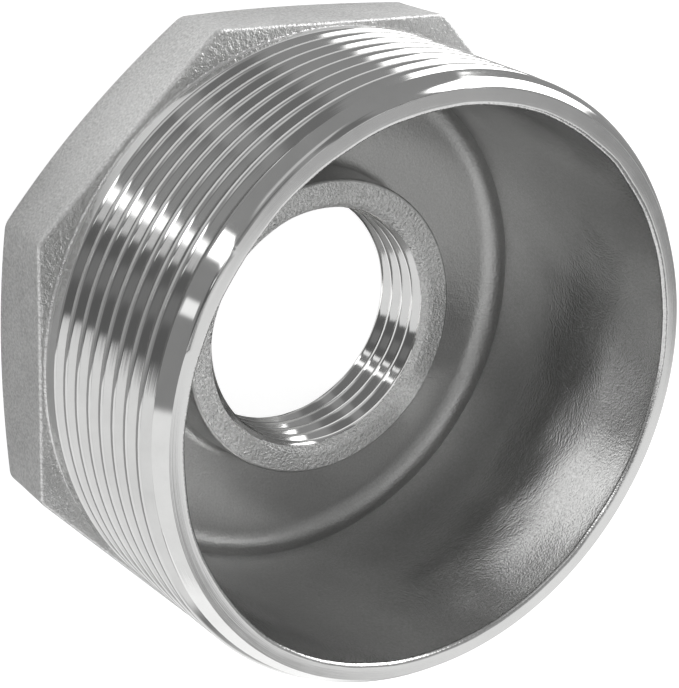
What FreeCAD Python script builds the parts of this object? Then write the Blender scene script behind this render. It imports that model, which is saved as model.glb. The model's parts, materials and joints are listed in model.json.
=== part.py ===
"""Reducing bushing for threaded pipe: one cast and machined piece of stainless steel.

An eight-sided wrench head carries a short tapered male pipe thread (nominal 2 inch, 11.5
turns per inch). The thread is hollow, and a boss stands on the floor of that hollow, bored
for a smaller female pipe thread (nominal 3/4 inch). Lengths are in millimetres.

The origin is the centre of the head's rear face. +Z runs along the axis to the open rim of
the male thread, and +X passes through the middle of one flat of the head.
"""
import FreeCAD, Part
import math
import os

Vector = FreeCAD.Vector
INCH = 25.4

# Overall length, from the rear face of the head to the rim
LENGTH = 29.6

# Male thread: crest radius at the rim, taper on the diameter, and the V form
MALE_CREST_RADIUS_AT_RIM = 29.70
MALE_TURNS_PER_INCH = 11.5
PIPE_TAPER = 1 / 16
THREAD_ANGLE = 60.0
MALE_CREST_FLAT = 0.44

# Where the groove runs: its centre above the rim at +X, the plain collar below its last
# full turn, and the part of a turn over which it climbs out of the metal
GROOVE_LEAD = 1.33
COLLAR_HEIGHT = 2.15
RUN_OUT_TURNS = 0.4

# Lead-in cone that takes the crests down to the rim
LEAD_IN_DROP = 1.33
LEAD_IN_LENGTH = 1.7

# Turned relief where the thread meets the head
RELIEF_DEPTH = 0.35
RELIEF_FLAT = 0.20
RELIEF_SLOPE_LENGTH = 0.30
RELIEF_ROUNDING = 0.30

# Wrench head
HEAD_SIDES = 8
HEAD_THICKNESS = 8.9
FLAT_STEP = 0.28
HEAD_CORNER_RADIUS = 1.4
HEAD_EDGE_BREAK = 0.25
REAR_CHAMFER_INSET = 0.30
REAR_CHAMFER_ANGLE = 33.0

# Cast hollow inside the male thread
RIM_WIDTH = 1.62
RIM_INNER_ROUNDING = 0.40
HOLLOW_DRAFT = 0.75
WEB_THICKNESS = 3.0
HOLLOW_FLOOR_FILLET = 2.1

# Boss on the floor of the hollow
BOSS_FACE_HEIGHT = 9.4
BOSS_FACE_RADIUS = 15.4
BOSS_DRAFT = 3.0
BOSS_FOOT_FILLET = 1.2
BOSS_EDGE_ROUNDING = 0.3

# Bore for the female thread, at the radius of the thread's crests
BORE_RADIUS = 12.2
BORE_FRONT_CHAMFER_WIDTH = 0.73
BORE_FRONT_CHAMFER_DEPTH = 0.45
BORE_REAR_CHAMFER_WIDTH = 1.5
BORE_REAR_CHAMFER_DEPTH = 1.5

# Cutting tools reach this far past the metal. The V cutter stands out of its groove by a
# share of the height at which neighbouring turns of it would meet
TOOL_REACH = 5.0
OVERSHOOT_SHARE = 0.75

# A turned rounding is a fan of short cones that stay this close to its arc, and an
# outline has no run shorter than the second value
ROUNDING_TOLERANCE = 0.1
SHORTEST_RUN = 1e-6

# Values worked out from the sizes above
MALE_PITCH = INCH / MALE_TURNS_PER_INCH
RADIAL_TAPER = PIPE_TAPER / 2
TAPER_ANGLE = math.degrees(math.atan(RADIAL_TAPER))
FLANK_SLOPE = math.tan(math.radians(THREAD_ANGLE / 2))
MALE_THREAD_DEPTH = (MALE_PITCH - MALE_CREST_FLAT) / 2 / FLANK_SLOPE
GROOVE_OVERSHOOT = OVERSHOOT_SHARE * MALE_CREST_FLAT / 2 / FLANK_SLOPE
COLLAR_RADIUS = MALE_CREST_RADIUS_AT_RIM + (LENGTH - HEAD_THICKNESS) * RADIAL_TAPER
HEAD_APOTHEM = COLLAR_RADIUS + FLAT_STEP
RIM_OUTER_RADIUS = MALE_CREST_RADIUS_AT_RIM - LEAD_IN_DROP
RIM_INNER_RADIUS = RIM_OUTER_RADIUS - RIM_WIDTH


def crest_radius(z):
    """Radius of the male thread's crest cone at height z."""
    return MALE_CREST_RADIUS_AT_RIM + (LENGTH - z) * RADIAL_TAPER


def rounded_corner(before, corner, after):
    """Arc that rounds one corner (a, b, rounding) of a flat outline.

    Returns its centre, its two ends and the angle that it turns through.
    """
    here = Vector(corner[0], corner[1], 0)
    back = Vector(before[0], before[1], 0) - here
    ahead = Vector(after[0], after[1], 0) - here
    back.normalize()
    ahead.normalize()
    half_angle = back.getAngle(ahead) / 2
    trim = corner[2] / math.tan(half_angle)
    inward = back + ahead
    inward.normalize()
    centre = here + inward * (corner[2] / math.sin(half_angle))
    return centre, here + back * trim, here + ahead * trim, math.pi - 2 * half_angle


def arc_points(centre, start, end, steps):
    """Points that split an arc of under half a turn into equal steps, ends included."""
    arm = start - centre
    side = arm.cross(end - centre)
    points = []
    for index in range(steps + 1):
        turn = FreeCAD.Rotation(side, math.degrees(arm.getAngle(end - centre)) * index / steps)
        points.append(centre + turn.multVec(arm))
    return points


def turned(corners):
    """Revolve a closed section of corners (radius, z, rounding) about the axis."""
    points = []
    for index, corner in enumerate(corners):
        if corner[2] == 0:
            points.append(Vector(corner[0], corner[1], 0))
            continue
        following = corners[(index + 1) % len(corners)]
        centre, start, end, angle = rounded_corner(corners[index - 1], corner, following)
        longest_step = 2 * math.acos(max(0, 1 - ROUNDING_TOLERANCE / corner[2]))
        points += arc_points(centre, start, end, math.ceil(angle / longest_step))
    section = [Vector(point.x, 0, point.y) for point in points]
    outline = [
        point for index, point in enumerate(section)
        if point.distanceToPoint(section[index - 1]) > SHORTEST_RUN
    ]
    face = Part.Face(Part.makePolygon(outline + outline[:1]))
    return face.revolve(Vector(0, 0, 0), Vector(0, 0, 1), 360)


def prism(corners, height):
    """Raise an outline of corners (x, y, rounding) with true arcs at the rounded ones."""
    edges = []
    rounded = [
        rounded_corner(corners[index - 1], corner, corners[(index + 1) % len(corners)])
        for index, corner in enumerate(corners)
    ]
    for index, (centre, start, end, turned_angle) in enumerate(rounded):
        middle = arc_points(centre, start, end, 2)[1]
        next_start = rounded[(index + 1) % len(rounded)][1]
        edges.append(Part.Arc(start, middle, end).toShape())
        edges.append(Part.LineSegment(end, next_start).toShape())
    return Part.Face(Part.Wire(edges)).extrude(Vector(0, 0, height))


def head():
    """Eight-sided head with rounded corners, broken front edges and a turned rear chamfer."""
    corner_distance = HEAD_APOTHEM / math.cos(math.pi / HEAD_SIDES)
    corners = []
    for index in range(HEAD_SIDES):
        angle = (index + 0.5) * 2 * math.pi / HEAD_SIDES
        x = corner_distance * math.cos(angle)
        y = corner_distance * math.sin(angle)
        corners.append((x, y, HEAD_CORNER_RADIUS))
    block = prism(corners, HEAD_THICKNESS)
    front_edges = [
        edge for edge in block.Edges
        if edge.BoundBox.ZMin > HEAD_THICKNESS / 2
    ]
    block = block.makeChamfer(HEAD_EDGE_BREAK, front_edges)
    chamfer_start = HEAD_APOTHEM - REAR_CHAMFER_INSET
    chamfer_end = corner_distance + TOOL_REACH
    chamfer_height = (chamfer_end - chamfer_start) * math.tan(math.radians(REAR_CHAMFER_ANGLE))
    turned_envelope = turned([
        (0, 0, 0),
        (chamfer_start, 0, 0),
        (chamfer_end, chamfer_height, 0),
        (chamfer_end, chamfer_height + HEAD_THICKNESS, 0),
        (0, chamfer_height + HEAD_THICKNESS, 0),
    ])
    return block.common(turned_envelope)


def shank():
    """Tapered blank of the male thread, with its relief at the head and its lead-in cone."""
    foot = HEAD_THICKNESS
    floor_end = foot + RELIEF_ROUNDING + RELIEF_FLAT
    slope_end = floor_end + RELIEF_SLOPE_LENGTH
    relief_radius = crest_radius(slope_end) - RELIEF_DEPTH
    inside_head = foot - HEAD_THICKNESS / 2
    foot_radius = relief_radius + RELIEF_ROUNDING
    lead_in_start = LENGTH - LEAD_IN_LENGTH
    return turned([
        (0, inside_head, 0),
        (foot_radius, inside_head, 0),
        (foot_radius, foot, 0),
        (relief_radius, foot, RELIEF_ROUNDING),
        (relief_radius, floor_end, 0),
        (crest_radius(slope_end), slope_end, 0),
        (crest_radius(lead_in_start), lead_in_start, 0),
        (RIM_OUTER_RADIUS, LENGTH, 0),
        (0, LENGTH, 0),
    ])


def hollow():
    """Tool for the cast hollow: a drafted ring around the boss, open at the rim."""
    depth = LENGTH - WEB_THICKNESS
    wall_radius = RIM_INNER_RADIUS - depth * math.tan(math.radians(HOLLOW_DRAFT))
    boss_height = BOSS_FACE_HEIGHT - WEB_THICKNESS
    boss_foot_radius = BOSS_FACE_RADIUS + boss_height * math.tan(math.radians(BOSS_DRAFT))
    reach_radius = RIM_INNER_RADIUS + TOOL_REACH
    return turned([
        (0, BOSS_FACE_HEIGHT, 0),
        (BOSS_FACE_RADIUS, BOSS_FACE_HEIGHT, BOSS_EDGE_ROUNDING),
        (boss_foot_radius, WEB_THICKNESS, BOSS_FOOT_FILLET),
        (wall_radius, WEB_THICKNESS, HOLLOW_FLOOR_FILLET),
        (RIM_INNER_RADIUS, LENGTH, RIM_INNER_ROUNDING),
        (reach_radius, LENGTH, 0),
        (reach_radius, LENGTH + TOOL_REACH, 0),
        (0, LENGTH + TOOL_REACH, 0),
    ])


def bore():
    """Tool for the bore through the boss and the web, with a chamfer at each end."""
    rear_radius = BORE_RADIUS + BORE_REAR_CHAMFER_WIDTH
    front_radius = BORE_RADIUS + BORE_FRONT_CHAMFER_WIDTH
    return turned([
        (0, -TOOL_REACH, 0),
        (rear_radius, -TOOL_REACH, 0),
        (rear_radius, 0, 0),
        (BORE_RADIUS, BORE_REAR_CHAMFER_DEPTH, 0),
        (BORE_RADIUS, BOSS_FACE_HEIGHT - BORE_FRONT_CHAMFER_DEPTH, 0),
        (front_radius, BOSS_FACE_HEIGHT, 0),
        (front_radius, BOSS_FACE_HEIGHT + TOOL_REACH, 0),
        (0, BOSS_FACE_HEIGHT + TOOL_REACH, 0),
    ])


def swept_groove(turns, surface_radius, cone_angle):
    """V cutter swept along a conical right-hand helix that widens with +Z from z = 0."""
    root = Vector(surface_radius - MALE_THREAD_DEPTH, 0, 0)
    mouth_radius = surface_radius + GROOVE_OVERSHOOT
    mouth_half = (mouth_radius - root.x) * FLANK_SLOPE
    section = Part.makePolygon([
        root,
        Vector(mouth_radius, 0, mouth_half),
        Vector(mouth_radius, 0, -mouth_half),
        root,
    ])
    helix = Part.makeLongHelix(MALE_PITCH, turns * MALE_PITCH, surface_radius, cone_angle)
    return Part.Wire(helix.Edges).makePipeShell([section], True, True)


def thread_groove():
    """Groove of the male thread: full turns from above the rim, then a short run-out.

    It is built with the rim downward, where the cone widens with +Z, then turned over.
    """
    groove_start = LENGTH + GROOVE_LEAD
    groove_end = HEAD_THICKNESS + COLLAR_HEIGHT
    full_turns = (groove_start - groove_end) / MALE_PITCH
    full = swept_groove(full_turns, crest_radius(groove_start), TAPER_ANGLE)

    climb = MALE_THREAD_DEPTH + GROOVE_OVERSHOOT
    climb_angle = math.degrees(math.atan(climb / (RUN_OUT_TURNS * MALE_PITCH)))
    run_out = swept_groove(RUN_OUT_TURNS, crest_radius(groove_end), climb_angle)
    run_out.translate(Vector(0, 0, full_turns * MALE_PITCH))
    run_out.rotate(Vector(0, 0, 0), Vector(0, 0, 1), full_turns * 360)

    tools = []
    for tool in (full, run_out):
        tool.rotate(Vector(0, 0, 0), Vector(1, 0, 0), 180)
        tool.translate(Vector(0, 0, groove_start))
        tools.append(tool)
    return tools


def bushing():
    """The whole piece: head and shank in one, hollowed, bored and threaded."""
    body = head().fuse(shank())
    body = body.cut(hollow())
    body = body.cut(bore())
    for tool in thread_groove():
        body = body.cut(tool)
    return body.removeSplitter()


os.makedirs("parts", exist_ok=True)
piece = bushing()
piece.exportStep("parts/hex_bushing.step")
print("valid:", piece.isValid(), " solids:", len(piece.Solids), " faces:", len(piece.Faces))
print("volume mm3:", round(piece.Volume, 1))
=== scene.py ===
"""Dressed scene for the reducing bushing: one stainless steel casting with turned threads.

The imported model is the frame. The casting below replaces its node with the same sizes,
and adds the female thread's grooves, true roundings and the finish of each surface.
"""
from __future__ import annotations

import json
import logging
import math
from collections.abc import Callable, Sequence
from dataclasses import dataclass, field
from enum import Enum
from functools import partial
from typing import Any

import bmesh
import bpy
from bmesh.types import BMesh, BMVert
from bpy.types import ID, Material, Mesh, Node, NodeSocket, NodeTree, Object, World
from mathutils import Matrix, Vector, noise

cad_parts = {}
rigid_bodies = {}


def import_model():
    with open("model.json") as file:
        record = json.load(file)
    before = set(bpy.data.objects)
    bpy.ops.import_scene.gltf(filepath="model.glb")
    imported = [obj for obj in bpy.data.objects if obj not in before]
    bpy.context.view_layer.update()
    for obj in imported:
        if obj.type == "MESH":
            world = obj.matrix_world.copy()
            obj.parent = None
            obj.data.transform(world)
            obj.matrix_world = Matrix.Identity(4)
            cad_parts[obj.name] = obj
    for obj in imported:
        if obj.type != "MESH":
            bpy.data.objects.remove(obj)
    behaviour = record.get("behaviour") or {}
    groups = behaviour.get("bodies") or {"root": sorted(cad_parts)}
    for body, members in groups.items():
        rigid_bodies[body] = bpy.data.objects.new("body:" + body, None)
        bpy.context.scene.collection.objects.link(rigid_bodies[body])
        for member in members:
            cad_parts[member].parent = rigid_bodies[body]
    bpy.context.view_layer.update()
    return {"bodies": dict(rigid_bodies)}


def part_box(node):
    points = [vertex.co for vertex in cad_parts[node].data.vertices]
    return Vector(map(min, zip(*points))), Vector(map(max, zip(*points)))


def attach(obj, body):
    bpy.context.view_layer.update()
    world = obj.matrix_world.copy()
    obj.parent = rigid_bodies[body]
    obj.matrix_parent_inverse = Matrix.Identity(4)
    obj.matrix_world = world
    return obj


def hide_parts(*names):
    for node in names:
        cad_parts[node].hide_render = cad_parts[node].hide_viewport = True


log = logging.getLogger("bushing")

MM = 0.001
INCH = 25.4 * MM
NODE = "hex_bushing"
BODY = "root"

# Columns round the axis, shared by every surface so that their rings meet. They crowd at
# the head's corners by a share of the plain spacing
COLUMNS = 240
HEAD_SIDES = 8
CROWDING = 0.75

# Share of a length that counts as nothing, and a distance at which points meet
TINY = 1e-4
TOUCH = 0.001 * MM

WHITE = (1.0, 1.0, 1.0, 1.0)

# A radius with a height, what gives one at each azimuth, and a ring of the mesh
Place = tuple[float, float]
Row = Callable[[float], Place]
Ring = list[BMVert]

# Two limits, and three numbers such as a colour or a point
Range = tuple[float, float]
Triple = tuple[float, float, float]


class Surface(Enum):
    """Each surface of the casting with its own finish, in the order of its materials."""

    CAST_HEAD = 0
    CAST_WALL = 1
    CAST_FLOOR = 2
    MALE_THREAD = 3
    COLLAR = 4
    RIM = 5
    HEAD_FACE = 6
    BOSS_FACE = 7
    FEMALE_THREAD = 8
    REAR = 9


class Side(Enum):
    """Whether a thread's metal lies inside its surface (male) or outside it (female)."""

    MALE = 1.0
    FEMALE = -1.0


@dataclass(frozen=True)
class Value:
    """A number or a place carried by a socket. Arithmetic adds Math nodes to its tree."""

    tree: NodeTree
    socket: NodeSocket

    def __add__(self, other: Value | float) -> Value:
        """This value plus another."""
        return calculate(self.tree, "ADD", self, other)

    def __sub__(self, other: Value | float) -> Value:
        """This value less another."""
        return calculate(self.tree, "SUBTRACT", self, other)

    def __mul__(self, other: Value | float) -> Value:
        """This value times another."""
        return calculate(self.tree, "MULTIPLY", self, other)

    def __truediv__(self, other: Value | float) -> Value:
        """This value divided by another."""
        return calculate(self.tree, "DIVIDE", self, other)

    def apply(self, operation: str, *others: Value | float) -> Value:
        """Another Math operation, with this value as its first operand."""
        return calculate(self.tree, operation, self, *others)


def connect(tree: NodeTree, source: Any, target: NodeSocket) -> None:
    """Feeds a socket from a value, another socket or a constant.

    Args:
        tree: the tree that holds both ends.
        source: a Value, a socket or a plain constant.
        target: the input socket to feed.
    """
    if isinstance(source, Value):
        tree.links.new(source.socket, target)
    elif isinstance(source, NodeSocket):
        tree.links.new(source, target)
    else:
        target.default_value = source


def add_node(
    tree: NodeTree, kind: str, inputs: dict[str, Any] | None = None, **settings: Any
) -> Node:
    """Adds one node to a tree.

    Args:
        tree: the tree that gets the node.
        kind: the node's type name.
        inputs: what feeds each named input.
        **settings: the node's own properties.

    Returns:
        The new node.
    """
    node = tree.nodes.new(kind)
    for name, setting in settings.items():
        setattr(node, name, setting)
    for name, source in (inputs or {}).items():
        connect(tree, source, node.inputs[name])
    return node


def calculate(tree: NodeTree, operation: str, *operands: Value | float) -> Value:
    """Adds one Math node.

    Args:
        tree: the tree that gets the node.
        operation: the Math node's operation.
        *operands: a Value or a number for each of its inputs.

    Returns:
        The node's result.
    """
    node = add_node(tree, "ShaderNodeMath", operation=operation)
    for operand, target in zip(operands, node.inputs):
        connect(tree, operand, target)
    return Value(tree, node.outputs[0])


def axes_of(place: Value) -> list[Value]:
    """The x, y and z of a place."""
    split = add_node(place.tree, "ShaderNodeSeparateXYZ", {"Vector": place})
    return [Value(place.tree, split.outputs[axis]) for axis in "XYZ"]


def place_at(x: Value, y: Value, z: Value) -> Value:
    """The place with a given x, y and z."""
    joined = add_node(x.tree, "ShaderNodeCombineXYZ", {"X": x, "Y": y, "Z": z})
    return Value(x.tree, joined.outputs["Vector"])


def empty_tree(owner: Material | World) -> NodeTree:
    """Gives a material or a world a node tree without nodes.

    Args:
        owner: which of them.

    Returns:
        The tree.
    """
    owner.use_nodes = True
    owner.node_tree.nodes.clear()
    return owner.node_tree


def add_object(name: str, data: ID) -> Object:
    """Adds an object to the scene.

    Args:
        name: the object's name.
        data: its mesh or camera.

    Returns:
        The object, at the origin.
    """
    added = bpy.data.objects.new(name, data)
    bpy.context.scene.collection.objects.link(added)
    return added


def soft_step(value: Value, start: float, end: float) -> Value:
    """A smooth step from 0 to 1.

    Args:
        value: what the step depends on.
        start: where the step is 0.
        end: where the step is 1.

    Returns:
        The step's height.
    """
    limits = {"Value": value, "From Min": start, "From Max": end}
    node = add_node(value.tree, "ShaderNodeMapRange", limits, interpolation_type="SMOOTHSTEP")
    return Value(value.tree, node.outputs["Result"])


def bump(height: Value, depth: float, below: NodeSocket | None = None) -> NodeSocket:
    """Raises a surface by a pattern.

    Args:
        height: the pattern.
        depth: depth of the relief where the pattern runs from 0 to 1.
        below: normal of an earlier bump that this one lies on.

    Returns:
        The normal.
    """
    node = add_node(height.tree, "ShaderNodeBump", {"Height": height, "Distance": depth})
    if below is not None:
        connect(height.tree, below, node.inputs["Normal"])
    return node.outputs["Normal"]


def even_shares(steps: int) -> list[float]:
    """The share of the way after each of some even steps."""
    return [step / steps for step in range(1, steps + 1)]


def column_angles() -> list[float]:
    """Azimuths of the shared columns, crowded at the head's corners.

    Returns:
        The azimuths in radians.
    """
    angles = []
    for index in range(COLUMNS):
        even = index * math.tau / COLUMNS
        angles.append(even + CROWDING / HEAD_SIDES * math.sin(HEAD_SIDES * even))
    return angles


@dataclass(frozen=True)
class Corner:
    """One corner of a turned section: radius, height and the rounding on it."""

    radius: float
    height: float
    rounding: float = 0.0


def rounded_section(corners: Sequence[Corner], longest_run: float, arc_steps: int) -> list[Vector]:
    """Points along an open section with true arcs at its rounded corners.

    Args:
        corners: the section's corners, the first and last without rounding.
        longest_run: straight runs are divided into pieces no longer than this.
        arc_steps: pieces in each arc.

    Returns:
        Points whose x is the radius and y the height.
    """
    places = [Vector((corner.radius, corner.height)) for corner in corners]
    bends = [places[0]]
    for index in range(1, len(corners) - 1):
        here = places[index]
        rounding = corners[index].rounding
        if rounding == 0:
            bends.append(here)
            continue
        back = (places[index - 1] - here).normalized()
        ahead = (places[index + 1] - here).normalized()
        half_angle = back.angle(ahead) / 2
        centre = here + (back + ahead).normalized() * (rounding / math.sin(half_angle))
        start = here + back * (rounding / math.tan(half_angle)) - centre
        end = here + ahead * (rounding / math.tan(half_angle)) - centre
        for step in range(arc_steps + 1):
            arm = start.lerp(end, step / arc_steps).normalized() * rounding
            bends.append(centre + arm)
    bends.append(places[-1])

    points = [bends[0]]
    for start, end in zip(bends, bends[1:]):
        pieces = math.ceil((end - start).length / longest_run - TINY)
        points += [start.lerp(end, step / pieces) for step in range(1, pieces + 1)]
    return points


@dataclass
class HelicalThread:
    """A right-hand pipe thread as a closed tube of faces, made by Geometry Nodes.

    Heights are along the axis and a radius at the crest holds at the top. The V groove is
    cut from the crest cone, its root is flattened, and a cone trims each end.
    """

    name: str
    side: Side
    bottom: float
    top: float
    pitch: float
    groove_height: float
    crest_radius: float
    crest_flat: float
    root_depth: float
    rows_per_turn: int
    taper: float = 0.0
    top_radius: float = 0.0
    top_slope: float = 0.0
    bottom_radius: float = 0.0
    bottom_slope: float = 0.0
    last_turn_height: float = -1.0
    run_out_turns: float = 0.4
    spare_turns: int = 3
    crest_rounding: float = 0.10 * MM
    root_rounding: float = 0.10 * MM
    half_angle: float = math.radians(30)

    @property
    def v_depth(self) -> float:
        """Depth of the sharp V below the crest."""
        return (self.pitch - self.crest_flat) / 2 / math.tan(self.half_angle)

    def sizes(self) -> dict[str, float]:
        """The tree's float inputs.

        Returns:
            Each number by its label.
        """
        names = (
            "bottom", "top", "pitch", "groove_height", "crest_radius", "taper", "v_depth",
            "root_depth", "crest_rounding", "root_rounding", "top_radius", "top_slope",
            "bottom_radius", "bottom_slope", "last_turn_height", "run_out_turns",
        )
        sizes = {name.replace("_", " ").title(): getattr(self, name) for name in names}
        return {"Side": self.side.value, "Flank Rise": 1 / math.tan(self.half_angle), **sizes}

    def tree(self) -> NodeTree:
        """Builds the node tree that lays rows of faces along the helix and shapes them.

        Returns:
            The tree, with a named input for each size.
        """
        tree = bpy.data.node_groups.new(self.name, "GeometryNodeTree")
        face = tree.interface
        face.new_socket("Geometry", in_out="OUTPUT", socket_type="NodeSocketGeometry")
        for label in ("Columns", "Rows", "Rows Per Turn"):
            face.new_socket(label, in_out="INPUT", socket_type="NodeSocketInt")
        for label in self.sizes():
            face.new_socket(label, in_out="INPUT", socket_type="NodeSocketFloat")
        face.new_socket("Finish", in_out="INPUT", socket_type="NodeSocketMaterial")
        group = tree.nodes.new("NodeGroupInput")
        size = {socket.name: Value(tree, socket) for socket in group.outputs if socket.name}

        grid = add_node(tree, "GeometryNodeMeshGrid", {
            "Size X": 1.0,
            "Size Y": 1.0,
            "Vertices X": size["Columns"] + 1.0,
            "Vertices Y": size["Rows"],
        })
        place = tree.nodes.new("GeometryNodeInputPosition")
        along, across, _ = axes_of(Value(tree, place.outputs["Position"]))
        even_turn = (along + 0.5) * math.tau
        row = (across + 0.5) * (size["Rows"] - 1.0)

        crowd = (even_turn * float(HEAD_SIDES)).apply("SINE") * (CROWDING / HEAD_SIDES)
        angle = even_turn + crowd
        climb = size["Pitch"] * angle / math.tau
        height = self.row_height(size, row, climb)
        radius = self.radius_at(size, height, climb)

        x, y = radius * angle.apply("COSINE"), radius * angle.apply("SINE")
        geometry = grid.outputs["Mesh"]
        for kind, inputs in (
            ("GeometryNodeSetPosition", {"Position": place_at(x, y, height)}),
            ("GeometryNodeMergeByDistance", {"Distance": TOUCH}),
            ("GeometryNodeRealizeInstances", {}),
            ("GeometryNodeSetMaterial", {"Material": size["Finish"]}),
        ):
            node = add_node(tree, kind, {"Geometry": geometry, **inputs})
            geometry = node.outputs["Geometry"]
        add_node(tree, "NodeGroupOutput", {"Geometry": geometry})
        return tree

    def row_height(self, size: dict[str, Value], row: Value, climb: Value) -> Value:
        """Height of a row of the grid, which climbs with the helix and stops at both ends.

        Args:
            size: the tree's inputs by name.
            row: the row's number.
            climb: how far the helix has climbed at this azimuth.

        Returns:
            The height.
        """
        turns_below = ((size["Groove Height"] - size["Bottom"]) / size["Pitch"]).apply("CEIL") + 1.0
        start = size["Groove Height"] - turns_below * size["Pitch"]
        free = start + climb + row * size["Pitch"] / size["Rows Per Turn"]
        return free.apply("MAXIMUM", size["Bottom"]).apply("MINIMUM", size["Top"])

    def radius_at(self, size: dict[str, Value], height: Value, climb: Value) -> Value:
        """Radius of the thread's surface.

        It is worked out for metal on the inside, and a female thread's radii are negative.

        Args:
            size: the tree's inputs by name.
            height: height along the axis.
            climb: how far the helix has climbed at this azimuth.

        Returns:
            The radius.
        """
        side = size["Side"]
        crest = side * (size["Crest Radius"] + (size["Top"] - height) * size["Taper"])
        turn = (height - size["Groove Height"] - climb) / size["Pitch"]
        offset = (turn - turn.apply("ROUND")) * size["Pitch"]
        centre = height - offset
        past_end = (size["Last Turn Height"] - centre).apply("MAXIMUM", 0.0)
        lift = past_end / (size["Run Out Turns"] * size["Pitch"]) * size["V Depth"]
        flank = crest - size["V Depth"] + lift + offset.apply("ABSOLUTE") * size["Flank Rise"]
        root = crest - size["Root Depth"] + lift
        groove = flank.apply("SMOOTH_MAX", root, size["Root Rounding"])
        surface = groove.apply("SMOOTH_MIN", crest, size["Crest Rounding"])
        top_cone = side * size["Top Radius"] + (size["Top"] - height) * size["Top Slope"]
        bottom_cone = side * size["Bottom Radius"] + (height - size["Bottom"]) * size["Bottom Slope"]
        trimmed = surface.apply("SMOOTH_MIN", top_cone, size["Crest Rounding"])
        return trimmed.apply("SMOOTH_MIN", bottom_cone, size["Crest Rounding"]) * side

    def build(self, finish: Material) -> Mesh:
        """Runs the tree once and keeps its result as a plain mesh.

        Args:
            finish: the thread's material.

        Returns:
            An open tube whose end rings lie at the bottom and top heights.
        """
        tree = self.tree()
        carrier = add_object(self.name, bpy.data.meshes.new(self.name))
        modifier = carrier.modifiers.new("thread", "NODES")
        modifier.node_group = tree
        turns = math.ceil((self.top - self.bottom) / self.pitch) + self.spare_turns
        values: dict[str, Any] = dict(self.sizes())
        values["Columns"] = COLUMNS
        values["Rows"] = turns * self.rows_per_turn + 1
        values["Rows Per Turn"] = self.rows_per_turn
        values["Finish"] = finish
        for item in tree.interface.items_tree:
            if item.in_out == "INPUT":
                modifier[item.identifier] = values[item.name]
        graph = bpy.context.evaluated_depsgraph_get()
        mesh = bpy.data.meshes.new_from_object(carrier.evaluated_get(graph))
        carrier.modifiers.remove(modifier)
        bpy.data.objects.remove(carrier)
        return mesh


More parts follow.
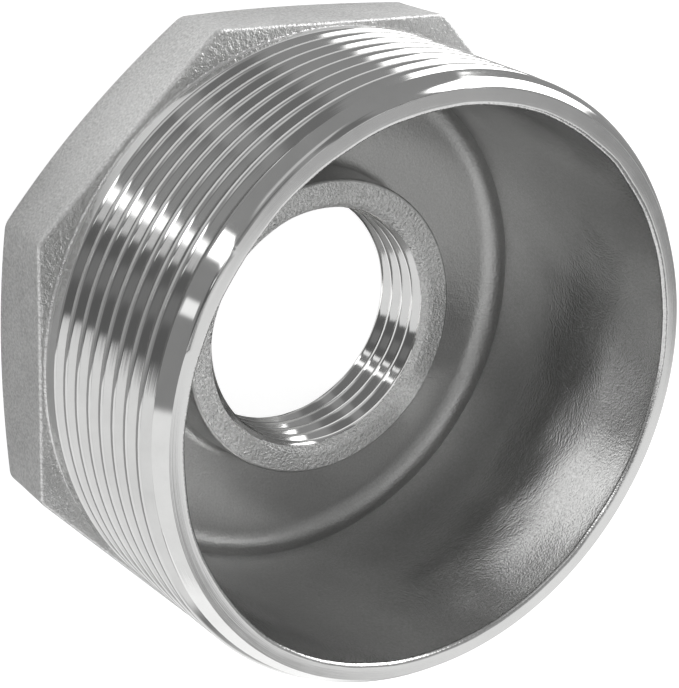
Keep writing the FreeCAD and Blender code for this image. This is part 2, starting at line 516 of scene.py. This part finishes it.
@dataclass
class WrenchHead:
    """Eight-sided head: turned front face, cast flats and a turned rear chamfer."""

    apothem: float
    thickness: float = 8.9 * MM
    corner_radius: float = 1.4 * MM
    front_rounding: float = 0.32 * MM
    chamfer_inset: float = 0.30 * MM
    chamfer_slope: float = math.tan(math.radians(33))
    wander: float = 0.05 * MM
    wander_length: float = 4.5 * MM
    wander_bias: float = 0.6
    wander_fade: float = 6.0
    front_steps: int = 4
    edge_steps: int = 5
    flat_steps: int = 12
    rear_steps: int = 10
    chamfer_shares: tuple[float, ...] = (0.8, 0.5, 0.2, 0.0)

    def outline(self, angle: float, inset: float = 0.0) -> float:
        """Distance of the head's outline from the axis.

        Args:
            angle: azimuth in radians.
            inset: how far the outline is moved inward.

        Returns:
            The distance.
        """
        side = math.tau / HEAD_SIDES
        from_flat = abs((angle + side / 2) % side - side / 2)
        apothem = self.apothem - inset
        rounding = self.corner_radius - inset
        centre = (apothem - rounding) / math.cos(side / 2)
        tangent = math.atan2(centre * math.sin(side / 2), apothem)
        if from_flat < tangent:
            return apothem / math.cos(from_flat)
        away = side / 2 - from_flat
        return centre * math.cos(away) + math.sqrt(rounding**2 - (centre * math.sin(away)) ** 2)

    def front_point(self, neck_radius: float, share: float, angle: float) -> Place:
        """On the turned front face, at a share of the way out from the neck."""
        edge = self.outline(angle, self.front_rounding)
        return neck_radius + (edge - neck_radius) * share, self.thickness

    def edge_point(self, share: float, angle: float) -> Place:
        """On the small rounding between the front face and the flats.

        Args:
            share: how far round the rounding.
            angle: azimuth in radians.

        Returns:
            Radius and height.
        """
        turn = share * math.pi / 2
        inset = self.front_rounding * (1 - math.sin(turn))
        return self.outline(angle, inset), self.thickness - self.front_rounding * (1 - math.cos(turn))

    def chamfer_height(self, angle: float) -> float:
        """Height at which the turned rear chamfer meets the flats."""
        start = self.apothem - self.chamfer_inset
        return (self.outline(angle) - start) * self.chamfer_slope

    def flat_point(self, share: float, angle: float) -> Place:
        """On the cast flats, which wander a little between the front and the rear chamfer.

        Args:
            share: how far down the flats.
            angle: azimuth in radians.

        Returns:
            Radius and height.
        """
        start = self.thickness - self.front_rounding
        height = start + (self.chamfer_height(angle) - start) * share
        radius = self.outline(angle)
        spot = Vector((radius * math.cos(angle), radius * math.sin(angle), height))
        swell = noise.noise(spot / self.wander_length) - self.wander_bias
        fade = min(1.0, self.wander_fade * share, self.wander_fade * (1 - share))
        return radius + min(0.0, swell) * self.wander * fade, height

    def chamfer_point(self, share: float, angle: float) -> Place:
        """On the turned rear chamfer, at a share of its width."""
        start = self.apothem - self.chamfer_inset
        return start + (self.outline(angle) - start) * share, self.chamfer_height(angle) * share

    def rear_point(self, bore_radius: float, share: float, angle: float) -> Place:
        """On the flat rear face, at a share of the way in to the bore's chamfer."""
        start = self.apothem - self.chamfer_inset
        return start + (bore_radius - start) * share, 0.0

    def rows(self, neck_radius: float, bore_radius: float) -> list[tuple[Row, Surface]]:
        """Rows from the neck's foot round the head to the bore's ring.

        Args:
            neck_radius: where the neck meets the front face.
            bore_radius: where the bore's chamfer opens in the rear face.

        Returns:
            Each row with its finish, without the neck's own and the bore's own.
        """
        front = partial(self.front_point, neck_radius)
        rear = partial(self.rear_point, bore_radius)
        runs = (
            (front, even_shares(self.front_steps), Surface.HEAD_FACE),
            (self.edge_point, even_shares(self.edge_steps), Surface.CAST_HEAD),
            (self.flat_point, even_shares(self.flat_steps), Surface.CAST_HEAD),
            (self.chamfer_point, self.chamfer_shares, Surface.REAR),
            (rear, even_shares(self.rear_steps)[:-1], Surface.REAR),
        )
        return [(partial(point, share), finish) for point, shares, finish in runs for share in shares]


@dataclass
class Hollow:
    """Cast hollow inside the male thread, with the turned boss face at its centre."""

    rim_height: float
    rim_inner_radius: float
    boss_height: float = 9.4 * MM
    boss_radius: float = 15.4 * MM
    floor_height: float = 3.0 * MM
    draft: float = math.radians(0.75)
    boss_draft: float = math.radians(3)
    boss_rounding: float = 0.3 * MM
    foot_fillet: float = 1.2 * MM
    floor_fillet: float = 2.1 * MM
    rim_rounding: float = 0.45 * MM
    wander: float = 0.10 * MM
    wander_length: float = 5.0 * MM
    wander_rise: float = 8.0 * MM
    floor_share: float = 0.3
    rim_wander: float = 0.06 * MM
    rim_wander_length: float = 2.6 * MM
    rim_band: float = 3.0 * MM
    boss_wander: float = 0.04 * MM
    boss_wander_length: float = 3.0 * MM
    boss_fade: float = 1.0 * MM

    def corners(self, bore_radius: float, outer_radius: float) -> list[Corner]:
        """The hollow's section from the bore's front chamfer to the rim's outer edge.

        Args:
            bore_radius: radius at which the bore opens in the boss.
            outer_radius: radius of the rim's outer edge.

        Returns:
            The section's corners.
        """
        depth = self.rim_height - self.floor_height
        wall_foot = self.rim_inner_radius - depth * math.tan(self.draft)
        boss_rise = self.boss_height - self.floor_height
        boss_foot = self.boss_radius + boss_rise * math.tan(self.boss_draft)
        return [
            Corner(bore_radius, self.boss_height),
            Corner(self.boss_radius, self.boss_height, self.boss_rounding),
            Corner(boss_foot, self.floor_height, self.foot_fillet),
            Corner(wall_foot, self.floor_height, self.floor_fillet),
            Corner(self.rim_inner_radius, self.rim_height, self.rim_rounding),
            Corner(outer_radius, self.rim_height),
        ]

    def uneven(self, point: Vector, angle: float) -> float:
        """How far the cast skin stands in from its true place.

        Args:
            point: radius and height on the section.
            angle: azimuth in radians.

        Returns:
            A distance, zero on the turned faces.
        """
        above_floor = point.y - self.floor_height
        below_rim = self.rim_height - point.y
        spot = Vector((point.x * math.cos(angle), point.x * math.sin(angle), point.y))
        if self.near_boss(point):
            fade = min(1.0, max(0.0, self.boss_height - point.y) / self.boss_fade)
            return noise.noise(spot / self.boss_wander_length) * self.boss_wander * fade
        coarse = noise.noise(spot / self.wander_length) * self.wander
        fine = noise.noise(spot / self.rim_wander_length) * self.rim_wander
        edge = max(0.0, 1 - below_rim / self.rim_band)
        return coarse * min(1.0, self.floor_share + above_floor / self.wander_rise) + fine * edge

    def skin_point(self, point: Vector, angle: float) -> Place:
        """On the hollow's skin, where a point of the section stands at an azimuth."""
        return point.x - self.uneven(point, angle), point.y

    def near_boss(self, point: Vector) -> bool:
        """Whether a point of the section is on the boss or on the fillet at its foot."""
        return point.x < self.boss_radius + self.foot_fillet

    def surface_at(self, point: Vector) -> Surface:
        """The finish of the faces that lead to a point of the section.

        Args:
            point: radius and height on the section.

        Returns:
            The finish.
        """
        if point.y > self.rim_height - TOUCH:
            return Surface.RIM
        if point.y > self.boss_height - TOUCH and point.x < self.boss_radius:
            return Surface.BOSS_FACE
        if self.near_boss(point) or point.y < self.floor_height + self.floor_fillet:
            return Surface.CAST_FLOOR
        return Surface.CAST_WALL


@dataclass
class Casting:
    """The whole piece as one closed mesh, built from its surfaces' rings."""

    lowest: Vector
    highest: Vector
    rim_radius: float = 28.37 * MM
    rim_width: float = 1.62 * MM
    male_crest_radius: float = 29.70 * MM
    untrimmed_radius: float = 59.40 * MM
    taper: float = 1 / 32
    male_turns_per_inch: float = 11.5
    female_turns_per_inch: float = 14.0
    male_turns: int = 9
    first_groove_past_rim: float = 1.33 * MM
    last_turn_height: float = 11.05 * MM
    lead_in: Place = (1.33 * MM, 1.7 * MM)
    neck_height: float = 10.0 * MM
    relief_depth: float = 0.35 * MM
    relief_flat: float = 0.20 * MM
    relief_slope: float = 0.30 * MM
    relief_rounding: float = 0.30 * MM
    relief_edge: float = 0.08 * MM
    relief_root: float = 0.12 * MM
    longest_neck_run: float = 0.3 * MM
    neck_arc_steps: int = 4
    longest_hollow_run: float = 0.9 * MM
    hollow_arc_steps: int = 7
    sharp_angle: float = math.radians(38)
    bore_radius: float = 12.2 * MM
    front_chamfer: Place = (0.73 * MM, 0.45 * MM)
    rear_chamfer: Place = (1.5 * MM, 1.5 * MM)
    shell: BMesh = field(default_factory=bmesh.new)

    @property
    def length(self) -> float:
        """Height of the rim above the rear face."""
        return self.highest.z

    def male_thread(self) -> HelicalThread:
        """Tapered male pipe thread with its lead-in and run-out.

        Returns:
            The thread.
        """
        pitch = INCH / self.male_turns_per_inch
        lead_in_width, lead_in_height = self.lead_in
        return HelicalThread(
            name="male_thread",
            side=Side.MALE,
            bottom=self.neck_height,
            top=self.length,
            pitch=pitch,
            groove_height=self.length + self.first_groove_past_rim - self.male_turns * pitch,
            crest_radius=self.male_crest_radius,
            crest_flat=0.44 * MM,
            root_depth=1.47 * MM,
            rows_per_turn=18,
            taper=self.taper,
            top_radius=self.rim_radius,
            top_slope=lead_in_width / lead_in_height,
            bottom_radius=self.untrimmed_radius,
            last_turn_height=self.last_turn_height,
        )

    def female_thread(self, boss_height: float) -> HelicalThread:
        """Female pipe thread through the boss, chamfered at both ends.

        Args:
            boss_height: height of the boss face.

        Returns:
            The thread.
        """
        front_width, front_depth = self.front_chamfer
        rear_width, rear_depth = self.rear_chamfer
        return HelicalThread(
            name="female_thread",
            side=Side.FEMALE,
            bottom=self.lowest.z,
            top=boss_height,
            pitch=INCH / self.female_turns_per_inch,
            groove_height=0.90 * MM,
            crest_radius=self.bore_radius,
            crest_flat=0.24 * MM,
            root_depth=0.98 * MM,
            half_angle=math.radians(37),
            rows_per_turn=20,
            root_rounding=0.04 * MM,
            crest_rounding=0.05 * MM,
            top_radius=self.bore_radius + front_width,
            top_slope=front_width / front_depth,
            bottom_radius=self.bore_radius + rear_width,
            bottom_slope=rear_width / rear_depth,
        )

    def take(self, mesh: Mesh, surface: Surface, above: float, trim: Surface) -> None:
        """Copies a thread's faces into the shell.

        Args:
            mesh: the thread's plain mesh.
            surface: the finish that its faces get.
            above: height above which they get another finish.
            trim: that finish.
        """
        known = len(self.shell.faces)
        self.shell.from_mesh(mesh)
        self.shell.faces.ensure_lookup_table()
        for face in self.shell.faces[known:]:
            is_trim = face.calc_center_median().z > above
            face.material_index = (trim if is_trim else surface).value

    def ring_at(self, height: float, widest: float) -> Ring:
        """The open ring of a thread already in the shell.

        Args:
            height: the ring's height.
            widest: no point of the ring is further than this from the axis.

        Returns:
            Its vertices in order of azimuth.
        """
        half_column = math.pi / COLUMNS * (1 - CROWDING)
        found = [
            vert for vert in self.shell.verts
            if abs(vert.co.z - height) < TOUCH and vert.is_boundary and vert.co.xy.length < widest
        ]
        if len(found) != COLUMNS:
            raise ValueError(f"ring at {height} has {len(found)} points, not {COLUMNS}")
        found.sort(key=lambda vert: (math.atan2(vert.co.y, vert.co.x) + half_column) % math.tau)
        return found

    def add_ring(self, row: Row) -> Ring:
        """Adds one ring of vertices on the shared columns.

        Args:
            row: the ring's radius and height at each azimuth.

        Returns:
            Its vertices in order of azimuth.
        """
        ring = []
        for angle in column_angles():
            radius, height = row(angle)
            place = (radius * math.cos(angle), radius * math.sin(angle), height)
            ring.append(self.shell.verts.new(place))
        return ring

    def band(self, lower: Ring, upper: Ring, surface: Surface) -> None:
        """Adds the faces between two rings.

        Args:
            lower: one ring.
            upper: the next ring.
            surface: the finish of the faces.
        """
        for index in range(COLUMNS):
            after = (index + 1) % COLUMNS
            corners = (lower[index], lower[after], upper[after], upper[index])
            self.shell.faces.new(corners).material_index = surface.value

    def join(
        self, start: Ring, rows: Sequence[tuple[Row, Surface]], end: Ring, last: Surface
    ) -> None:
        """Closes the shell between two rings with rows of faces.

        Args:
            start: the ring that the rows start from.
            rows: each row with the finish of the faces that lead to it.
            end: the ring that the rows end at.
            last: the finish of the last band.
        """
        ring = start
        for row, surface in rows:
            following = self.add_ring(row)
            self.band(ring, following, surface)
            ring = following
        self.band(ring, end, last)

    def crest_at(self, height: float) -> float:
        """Radius of the male crests at a height."""
        return self.male_crest_radius + (self.length - height) * self.taper

    def neck_rows(self, foot: float) -> tuple[list[Row], float]:
        """Rows of the collar and the turned relief, down to the head's front face.

        Args:
            foot: height of the head's front face.

        Returns:
            The rows, and the radius at which they reach the face.
        """
        floor_end = foot + self.relief_rounding + self.relief_flat
        slope_end = floor_end + self.relief_slope
        relief_radius = self.crest_at(slope_end) - self.relief_depth
        foot_radius = relief_radius + self.relief_rounding
        section = rounded_section([
            Corner(self.crest_at(self.neck_height), self.neck_height),
            Corner(self.crest_at(slope_end), slope_end, self.relief_edge),
            Corner(relief_radius, floor_end, self.relief_root),
            Corner(relief_radius, foot, self.relief_rounding),
            Corner(foot_radius, foot),
        ], self.longest_neck_run, self.neck_arc_steps)
        rows = [turned_row(point.x, point.y) for point in section[1:]]
        return rows, foot_radius

    def build(self, finishes: dict[Surface, Material]) -> Object:
        """Builds the threads by their trees and closes the casting around them.

        Args:
            finishes: the material of each surface.

        Returns:
            The finished object, at the origin.
        """
        hollow = Hollow(self.length, self.rim_radius - self.rim_width)
        head = WrenchHead(self.highest.x)
        male = self.male_thread().build(finishes[Surface.MALE_THREAD])
        female = self.female_thread(hollow.boss_height).build(finishes[Surface.FEMALE_THREAD])
        front_chamfer = hollow.boss_height - self.front_chamfer[1]
        self.take(male, Surface.MALE_THREAD, self.length, Surface.RIM)
        self.take(female, Surface.FEMALE_THREAD, front_chamfer, Surface.BOSS_FACE)
        front_opening = self.bore_radius + self.front_chamfer[0]
        rear_opening = self.bore_radius + self.rear_chamfer[0]
        neck_ring = self.ring_at(self.neck_height, head.apothem)
        rim_ring = self.ring_at(self.length, head.apothem)
        bore_ring = self.ring_at(hollow.boss_height, hollow.boss_radius)
        rear_ring = self.ring_at(self.lowest.z, hollow.boss_radius)

        neck, foot_radius = self.neck_rows(head.thickness)
        outside = [(row, Surface.COLLAR) for row in neck]
        outside += head.rows(foot_radius, rear_opening)
        self.join(neck_ring, outside, rear_ring, Surface.REAR)

        corners = hollow.corners(front_opening, self.rim_radius)
        section = rounded_section(corners, self.longest_hollow_run, self.hollow_arc_steps)
        skin = hollow.skin_point
        inside = [(partial(skin, point), hollow.surface_at(point)) for point in section[1:-1]]
        self.join(bore_ring, inside, rim_ring, Surface.RIM)
        return self.finish(finishes)

    def finish(self, finishes: dict[Surface, Material]) -> Object:
        """Turns the shell's faces outward and makes it an object with its materials.

        Args:
            finishes: the material of each surface.

        Returns:
            The object, linked to the scene.
        """
        bmesh.ops.recalc_face_normals(self.shell, faces=self.shell.faces)
        open_edges = [edge for edge in self.shell.edges if not edge.is_manifold]
        log.info("shell: %d faces, %d open edges", len(self.shell.faces), len(open_edges))
        mesh = bpy.data.meshes.new("bushing_casting")
        self.shell.to_mesh(mesh)
        self.shell.free()
        for surface in Surface:
            mesh.materials.append(finishes[surface])
        mesh.shade_smooth()
        mesh.set_sharp_from_angle(angle=self.sharp_angle)
        return add_object("bushing_casting", mesh)


def turned_row(radius: float, height: float) -> Row:
    """A plain turned ring."""
    return lambda angle: (radius, height)


def steel(level: float) -> Triple:
    """A steel's colour, a little short of blue."""
    return level, level, level - 0.005


@dataclass(frozen=True)
class Metal:
    """What every finish of the steel has."""

    name: str
    level: float = 0.56
    roughness: float = 0.3
    roughness_spread: float = 0.1
    patch: float = 4.0 * MM
    patch_contrast: float = 0.2
    speckle: float = 0.25 * MM
    speckle_contrast: float = 0.0
    metallic: float = 1.0
    anisotropy: float = 0.0
    anisotropy_turn: float = 0.25
    pattern_roughness: float = 0.6

    def material(self) -> Material:
        """Builds the material.

        Returns:
            The material with its node tree.
        """
        material = bpy.data.materials.new(self.name)
        tree = empty_tree(material)
        place = Value(tree, tree.nodes.new("ShaderNodeTexCoord").outputs["Object"])
        patches = self.pattern(place, self.patch, detail=4.0)
        speckles = self.pattern(place, self.speckle, detail=1.0)
        shade = (patches - 0.5) * self.patch_contrast + 1.0
        shade = shade + (speckles - 0.5) * self.speckle_contrast
        grey = {"Vector": steel(self.level), "Scale": shade}
        colour = add_node(tree, "ShaderNodeVectorMath", grey, operation="SCALE")
        rough = (patches - 0.5) * (2 * self.roughness_spread) + self.roughness
        shader = add_node(tree, "ShaderNodeBsdfPrincipled", {
            "Base Color": colour.outputs["Vector"],
            "Metallic": self.metallic,
            "Roughness": rough,
            "Normal": self.relief(place),
            "Anisotropic": self.anisotropy,
        })
        if self.anisotropy > 0:
            tangent = add_node(tree, "ShaderNodeTangent", direction_type="RADIAL", axis="Z")
            connect(tree, tangent.outputs["Tangent"], shader.inputs["Tangent"])
            shader.inputs["Anisotropic Rotation"].default_value = self.anisotropy_turn
        add_node(tree, "ShaderNodeOutputMaterial", {"Surface": shader.outputs["BSDF"]})
        return material

    def pattern(self, place: Value, feature: float, detail: float = 2.0) -> Value:
        """Soft random pattern.

        Args:
            place: where in the pattern a point of the surface lies.
            feature: size of a feature.
            detail: levels of finer detail.

        Returns:
            A value about 0.5.
        """
        node = add_node(place.tree, "ShaderNodeTexNoise", {
            "Vector": place,
            "Scale": 1 / feature,
            "Detail": detail,
            "Roughness": self.pattern_roughness,
        })
        return Value(place.tree, node.outputs[0])

    def relief(self, place: Value) -> NodeSocket:
        """The normal of the finish's relief at a place on the object."""
        raise NotImplementedError


@dataclass(frozen=True)
class CastSkin(Metal):
    """Blasted cast skin: fine grain over shallow pits."""

    grain: float = 0.22 * MM
    grain_depth: float = 0.05 * MM
    pit: float = 0.8 * MM
    pit_depth: float = 0.05 * MM

    def relief(self, place: Value) -> NodeSocket:
        """Grain on top of pits."""
        coarse = bump(self.pattern(place, self.pit), self.pit_depth)
        return bump(self.pattern(place, self.grain), self.grain_depth, coarse)


@dataclass(frozen=True)
class TurnedSkin(Metal):
    """Turned surface: fine rings round the axis, with a few long tool marks."""

    ring: float = 0.09 * MM
    ring_depth: float = 0.0015 * MM
    mark: float = 0.5 * MM
    mark_depth: float = 0.003 * MM
    break_up: float = 0.02

    def relief(self, place: Value) -> NodeSocket:
        """Rings that follow radius and height, broken up a little along their length.

        Args:
            place: the place on the object.

        Returns:
            The normal.
        """
        x, y, z = axes_of(place)
        along = place_at((x * x + y * y).apply("SQRT"), z, x * self.break_up)
        coarse = bump(self.pattern(along, self.mark, detail=1.0), self.mark_depth)
        return bump(self.pattern(along, self.ring, detail=1.0), self.ring_depth, coarse)


@dataclass(frozen=True)
class FacedSkin(Metal):
    """Face turned with a chattering tool: streaks that run out from the axis."""

    streaks_per_radian: float = 60.0
    streak_depth: float = 0.06 * MM
    drift: float = 1.5 * MM
    grain: float = 0.22 * MM
    grain_depth: float = 0.08 * MM

    def relief(self, place: Value) -> NodeSocket:
        """Streaks at even angles that change slowly with the radius, under a fine grain.

        Args:
            place: the place on the object.

        Returns:
            The normal.
        """
        x, y, _ = axes_of(place)
        radius = (x * x + y * y).apply("SQRT")
        across, along = (part / radius * self.streaks_per_radian for part in (x, y))
        turning = place_at(across, along, radius / self.drift)
        coarse = bump(self.pattern(turning, 1.0), self.streak_depth)
        return bump(self.pattern(place, self.grain), self.grain_depth, coarse)


def finishes() -> dict[Surface, Material]:
    """Builds the material of each surface.

    Returns:
        The materials.
    """
    skins: dict[Surface, Metal] = {
        Surface.CAST_HEAD: CastSkin(
            "cast_head", level=0.66, roughness=0.42, speckle_contrast=0.8, grain_depth=0.09 * MM,
        ),
        Surface.CAST_WALL: CastSkin(
            "cast_wall", level=0.57, metallic=0.92, roughness=0.15, roughness_spread=0.03,
            speckle_contrast=0.4, grain_depth=0.024 * MM, pit_depth=0.012 * MM,
        ),
        # Same cast skin as the head, set darker: partly the skin, partly painted shade in the hollow
        Surface.CAST_FLOOR: CastSkin("cast_floor", level=0.5, roughness=0.4, speckle_contrast=0.3),
        Surface.MALE_THREAD: TurnedSkin(
            "turned_male_thread", roughness=0.08, roughness_spread=0.02, anisotropy=0.7,
        ),
        Surface.COLLAR: FacedSkin("turned_collar", level=0.62, streaks_per_radian=75.0, grain=0.3 * MM),
        Surface.RIM: TurnedSkin(
            "turned_rim", roughness=0.15, roughness_spread=0.05, ring_depth=0.004 * MM,
        ),
        Surface.HEAD_FACE: FacedSkin(
            "faced_head", level=0.69, roughness=0.34, streak_depth=0.08 * MM,
            grain=0.38 * MM, grain_depth=0.14 * MM,
        ),
        Surface.BOSS_FACE: FacedSkin(
            "faced_boss", level=0.67, roughness=0.32, streaks_per_radian=40.0,
            streak_depth=0.03 * MM, grain=0.28 * MM, grain_depth=0.22 * MM,
            speckle_contrast=0.6,
        ),
        Surface.FEMALE_THREAD: TurnedSkin(
            "turned_female_thread", roughness=0.08, roughness_spread=0.02, anisotropy=0.7,
        ),
        Surface.REAR: TurnedSkin("turned_rear", roughness=0.32),
    }
    return {surface: skin.material() for surface, skin in skins.items()}


@dataclass(frozen=True)
class View:
    """Camera of the reference view."""

    place: Triple = (-92.285 * MM, 59.304 * MM, 146.872 * MM)
    turn: Triple = (-22.2299, -32.4604, 2.7669)
    lens: float = 92.157
    sensor: float = 36.0
    shift: Range = (0.04567, 0.02343)
    clip: Range = (0.01, 100.0)

    def build(self) -> None:
        """Places the camera and makes it the scene's own."""
        lens = bpy.data.cameras.new("reference_view")
        lens.lens = self.lens
        lens.sensor_width = self.sensor
        lens.shift_x, lens.shift_y = self.shift
        lens.clip_start, lens.clip_end = self.clip
        camera = add_object("reference_view", lens)
        camera.location = self.place
        camera.rotation_euler = [math.radians(angle) for angle in self.turn]
        bpy.context.scene.camera = camera


@dataclass(frozen=True)
class Floor:
    """Pale floor that looks white and takes the piece's shadow; the metal reflects it as painted light
    and painted shade.
    """

    size: float = 4.0
    gap: float = 0.02 * MM
    colour: float = 0.45
    glow_seen: float = 0.88
    # Glow that only the metal reflects: painted light and painted shade on the floor
    glow_near: float = 0.20
    glow_far: float = 0.05
    near: Range = (80 * MM, 45 * MM)
    glow_beside: float = 0.55
    beside: Range = (12 * MM, 34 * MM)
    shade: float = 0.62
    shade_by_head: Range = (43 * MM, 34 * MM)
    shade_across: Range = (-26 * MM, -12 * MM)
    glow_in_front: float = 1.1
    in_front: Range = (-55 * MM, -85 * MM)
    glow_under_bore: float = 1.18
    under_bore: Range = (16 * MM, 12 * MM)
    bar_azimuth: float = math.radians(60)
    bar_edge: Range = (7.7 * MM, 5.3 * MM)
    bar_offset: float = 2.2 * MM

    def build(self) -> None:
        """Adds the floor just under the piece."""
        shell = bmesh.new()
        bmesh.ops.create_grid(shell, x_segments=2, y_segments=2, size=self.size)
        bmesh.ops.translate(shell, verts=shell.verts, vec=(0, 0, -self.gap))
        mesh = bpy.data.meshes.new("floor")
        shell.to_mesh(mesh)
        shell.free()
        mesh.materials.append(self.dress())
        add_object("floor", mesh)

    def dress(self) -> Material:
        """Matt white that glows plain white for the camera, and with painted light and shade for what
        the metal reflects.

        Returns:
            The material.
        """
        material = bpy.data.materials.new("pale_floor")
        tree = empty_tree(material)
        path = tree.nodes.new("ShaderNodeLightPath")
        seen = Value(tree, path.outputs["Is Camera Ray"])
        seen = seen.apply("MAXIMUM", Value(tree, path.outputs["Is Transmission Ray"]))
        x, y, _ = axes_of(Value(tree, tree.nodes.new("ShaderNodeTexCoord").outputs["Object"]))
        # Painted light and shade that the metal alone sees in the floor
        painted_reflection = Value(tree, path.outputs["Is Glossy Ray"]) * self.painted_reflection_glow(x, y)
        matt = add_node(tree, "ShaderNodeBsdfDiffuse", {"Color": (*[self.colour] * 3, 1)})
        glow = add_node(tree, "ShaderNodeEmission", {
            "Color": WHITE,
            "Strength": seen * self.glow_seen + painted_reflection,
        })
        both = tree.nodes.new("ShaderNodeAddShader")
        connect(tree, matt.outputs["BSDF"], both.inputs[0])
        connect(tree, glow.outputs["Emission"], both.inputs[1])
        add_node(tree, "ShaderNodeOutputMaterial", {"Surface": both.outputs["Shader"]})
        return material

    def painted_reflection_glow(self, x: Value, y: Value) -> Value:
        """Painted light and painted shade on the floor, seen only as the metal reflects it.

        It fades with distance. It is stronger beside the head on the +Y side, less so in a painted
        shade close to the head, and bright far in front on the -Y side. Brightest is a painted bar
        of light where light falls through the bore.

        Args:
            x: place on the floor.
            y: place on the floor.

        Returns:
            The strength.
        """
        away = (x * x + y * y).apply("SQRT")
        near = soft_step(away, *self.near)
        glow = near * (self.glow_near - self.glow_far) + self.glow_far
        beside = near * soft_step(y, *self.beside)
        shade = soft_step(away, *self.shade_by_head) * soft_step(x, *self.shade_across)
        beside = beside - beside * shade * self.shade
        glow = glow + beside * self.glow_beside
        glow = glow + soft_step(y, *self.in_front) * self.glow_in_front
        across = x * math.cos(self.bar_azimuth) + y * math.sin(self.bar_azimuth)
        bar = soft_step((across - self.bar_offset).apply("ABSOLUTE"), *self.bar_edge)
        under = soft_step(away, *self.under_bore)
        return glow + (glow * -1.0 + self.glow_under_bore) * (bar * under)


@dataclass(frozen=True)
class Panel:
    """One panel of the studio, as a patch of directions seen from the piece.

    Angles are in degrees. A panel is painted over those before it.
    """

    azimuth: Range
    elevation: Range
    strength: float
    softness: float = 4.0

    def mask(self, azimuth: Value, elevation: Value) -> Value:
        """How much of a direction the panel covers.

        Args:
            azimuth: the direction's azimuth in radians.
            elevation: its elevation in radians.

        Returns:
            A value from 0 to 1.
        """
        soft = math.radians(self.softness)
        parts = []
        for angle, (start, end) in ((azimuth, self.azimuth), (elevation, self.elevation)):
            middle = math.radians((start + end) / 2)
            half = math.radians((end - start) / 2)
            away = (angle - middle).apply("WRAP", -math.pi, math.pi).apply("ABSOLUTE")
            parts.append(soft_step(away, half + soft, half - soft))
        return parts[0] * parts[1]


@dataclass(frozen=True)
class Light:
    """Light from all round: an even level with panels painted over it, in their order."""

    ambient: float = 0.42
    panels: tuple[Panel, ...] = (
        # The bright side, with dimmer parts in it
        Panel((204, 334), (-5, 90), 1.25, 1.5),
        Panel((192, 206), (-5, 38), 1.25, 1.5),
        Panel((329, 350), (47, 62), 0.62, 3),
        Panel((290, 315), (44, 64), 0.35, 4),
        Panel((206, 250), (30, 56), 1.05, 5),
        Panel((250, 282), (12, 26), 0.72, 5),
        Panel((260, 306), (22, 90), 0.30, 4),
        # The dim side
        Panel((54, 135), (-5, 75), 0.40, 5),
        Panel((70, 90), (40, 60), 0.24, 3),
        Panel((147, 204), (38, 80), 0.16, 1.5),
        Panel((163, 176), (50, 80), 0.26, 3),
        Panel((147, 191), (-5, 38), 0.37, 2),
        # Two lamps, the second a narrow one
        Panel((16, 52), (-5, 38.5), 5.0, 2),
        Panel((136.3, 145), (12, 50), 3.5, 1.0),
        # High up, for the male thread's flanks
        Panel((134.5, 151), (58.5, 66), 0.85, 1.5),
        Panel((136, 142), (58.5, 66), 2.5, 1.2),
        # Lower, mostly for the female thread's
        Panel((191, 232), (40, 58.5), 1.12, 1.5),
        Panel((231, 259), (28, 46), 1.15, 2),
        Panel((88, 124), (25, 46), 0.85, 4),
        Panel((100, 147), (50, 58.5), 0.24, 1.5),
        Panel((137.2, 141.4), (49, 58.5), 2.0, 1.0),
        Panel((149.0, 153.2), (49, 58.5), 1.5, 1.0),
        Panel((158.5, 163.5), (17, 23), 1.6, 0.8),
    )

    def build(self) -> None:
        """Paints the panels on the world, which the camera itself sees as plain white."""
        world = bpy.data.worlds.new("studio")
        bpy.context.scene.world = world
        tree = empty_tree(world)
        direction = Value(tree, tree.nodes.new("ShaderNodeTexCoord").outputs["Generated"])
        x, y, z = axes_of(direction)
        azimuth = y.apply("ARCTAN2", x)
        elevation = z.apply("ARCSINE")
        plain = tree.nodes.new("ShaderNodeValue")
        plain.outputs[0].default_value = self.ambient
        light = Value(tree, plain.outputs[0])
        for panel in self.panels:
            mask = panel.mask(azimuth, elevation)
            light = light + (light * -1.0 + panel.strength) * mask
        path = tree.nodes.new("ShaderNodeLightPath")
        camera = Value(tree, path.outputs["Is Camera Ray"])
        strength = light + (light * -1.0 + 1.0) * camera
        background = add_node(tree, "ShaderNodeBackground", {"Color": WHITE, "Strength": strength})
        add_node(tree, "ShaderNodeOutputWorld", {"Surface": background.outputs["Background"]})


def main() -> None:
    """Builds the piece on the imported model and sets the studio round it."""
    logging.basicConfig(level=logging.INFO, format="%(name)s: %(message)s")
    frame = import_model()
    log.info("bodies: %s", ", ".join(frame["bodies"]))
    bpy.context.scene.view_settings.view_transform = "Standard"
    View().build()
    Floor().build()
    Light().build()

    lowest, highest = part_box(NODE)
    piece = Casting(Vector(lowest), Vector(highest)).build(finishes())
    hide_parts(NODE)
    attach(piece, BODY)
    log.info("%s: %d faces", piece.name, len(piece.data.polygons))


if __name__ == "__main__":
    main()
